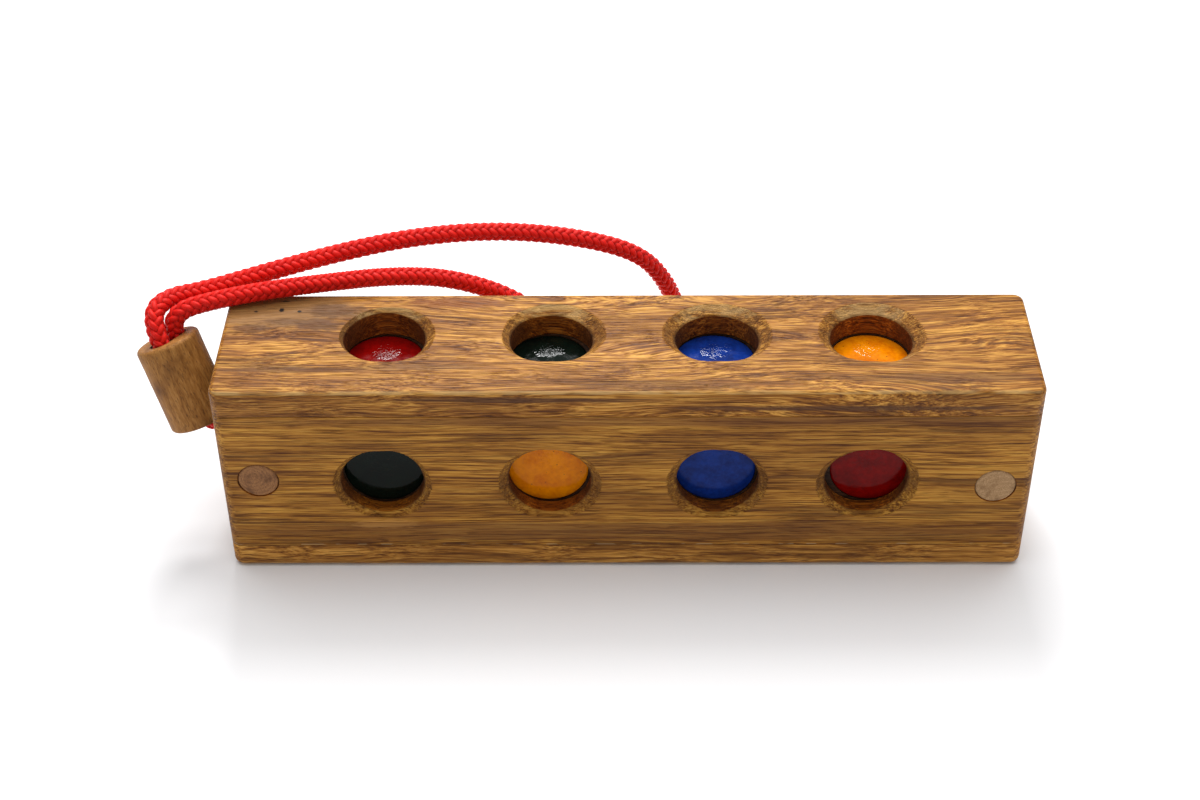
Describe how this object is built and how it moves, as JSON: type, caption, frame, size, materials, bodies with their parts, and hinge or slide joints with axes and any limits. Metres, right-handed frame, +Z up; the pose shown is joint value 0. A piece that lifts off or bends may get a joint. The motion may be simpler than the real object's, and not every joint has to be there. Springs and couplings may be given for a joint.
{
  "type": "colour matching puzzle bar",
  "caption": "Long wooden puzzle bar with round windows on every side, colour blocks inside, a locking pin and a red braided carrying loop with a wooden bead.",
  "frame": {"origin": "middle of the case's underside, on the surface that the puzzle stands on", "axes": "+X along the case to the end without the cord, -Y to the front where the pins show, +Z up"},
  "size_m": [0.2227, 0.0991, 0.0635],
  "materials": {
    "board_wood": "oiled oak-like wood with long dark streaks",
    "bottom_wood": "oiled wood, redder figure",
    "end_wood": "oiled end grain",
    "pin_wood": "oiled end grain, dark",
    "dowel_wood": "sanded end grain, pale",
    "block_wood": "dark stained",
    "bead_wood": "turned and oiled",
    "cord": "braided cord with a slight sheen",
    "red_paint": "thick gloss enamel",
    "green_paint": "thick gloss enamel",
    "blue_paint": "thick gloss enamel",
    "yellow_paint": "thick gloss enamel"
  },
  "bodies": {
    "case": {"top_board": "board_wood", "bottom_board": "bottom_wood", "front_board": "board_wood", "back_board": "board_wood", "left_end_block": "end_wood", "right_end_block": "end_wood", "fixed_dowel": "dowel_wood", "carry_cord": "cord", "cord_knot": "cord", "bead": "bead_wood"},
    "lock_pin_body": {"lock_pin": "pin_wood"},
    "block_1_body": {"block_1": "block_wood", "dot_1_top": "red_paint", "dot_1_bottom": "yellow_paint", "dot_1_front": "green_paint", "dot_1_back": "blue_paint"},
    "block_2_body": {"block_2": "block_wood", "dot_2_top": "green_paint", "dot_2_bottom": "blue_paint", "dot_2_front": "yellow_paint", "dot_2_back": "red_paint"},
    "block_3_body": {"block_3": "block_wood", "dot_3_top": "blue_paint", "dot_3_bottom": "green_paint", "dot_3_front": "blue_paint", "dot_3_back": "yellow_paint"},
    "block_4_body": {"block_4": "block_wood", "dot_4_top": "yellow_paint", "dot_4_bottom": "red_paint", "dot_4_front": "red_paint", "dot_4_back": "green_paint"}
  },
  "joints": [
    {"name": "lock_pin_slide", "type": "slide", "parent": "case", "child": "lock_pin_body", "axis": [0, -1, 0], "range_m": [0, 0.0135]},
    {"name": "block_1_slide", "type": "slide", "parent": "case", "child": "block_1_body", "axis": [1, 0, 0], "range_m": [-0.0007, 0.0013]},
    {"name": "block_2_slide", "type": "slide", "parent": "case", "child": "block_2_body", "axis": [1, 0, 0], "range_m": [-0.0013, 0.00155]},
    {"name": "block_3_slide", "type": "slide", "parent": "case", "child": "block_3_body", "axis": [1, 0, 0], "range_m": [-0.00155, 0.0002]},
    {"name": "block_4_slide", "type": "slide", "parent": "case", "child": "block_4_body", "axis": [1, 0, 0], "range_m": [-0.0002, 0.0006]}
  ]
}
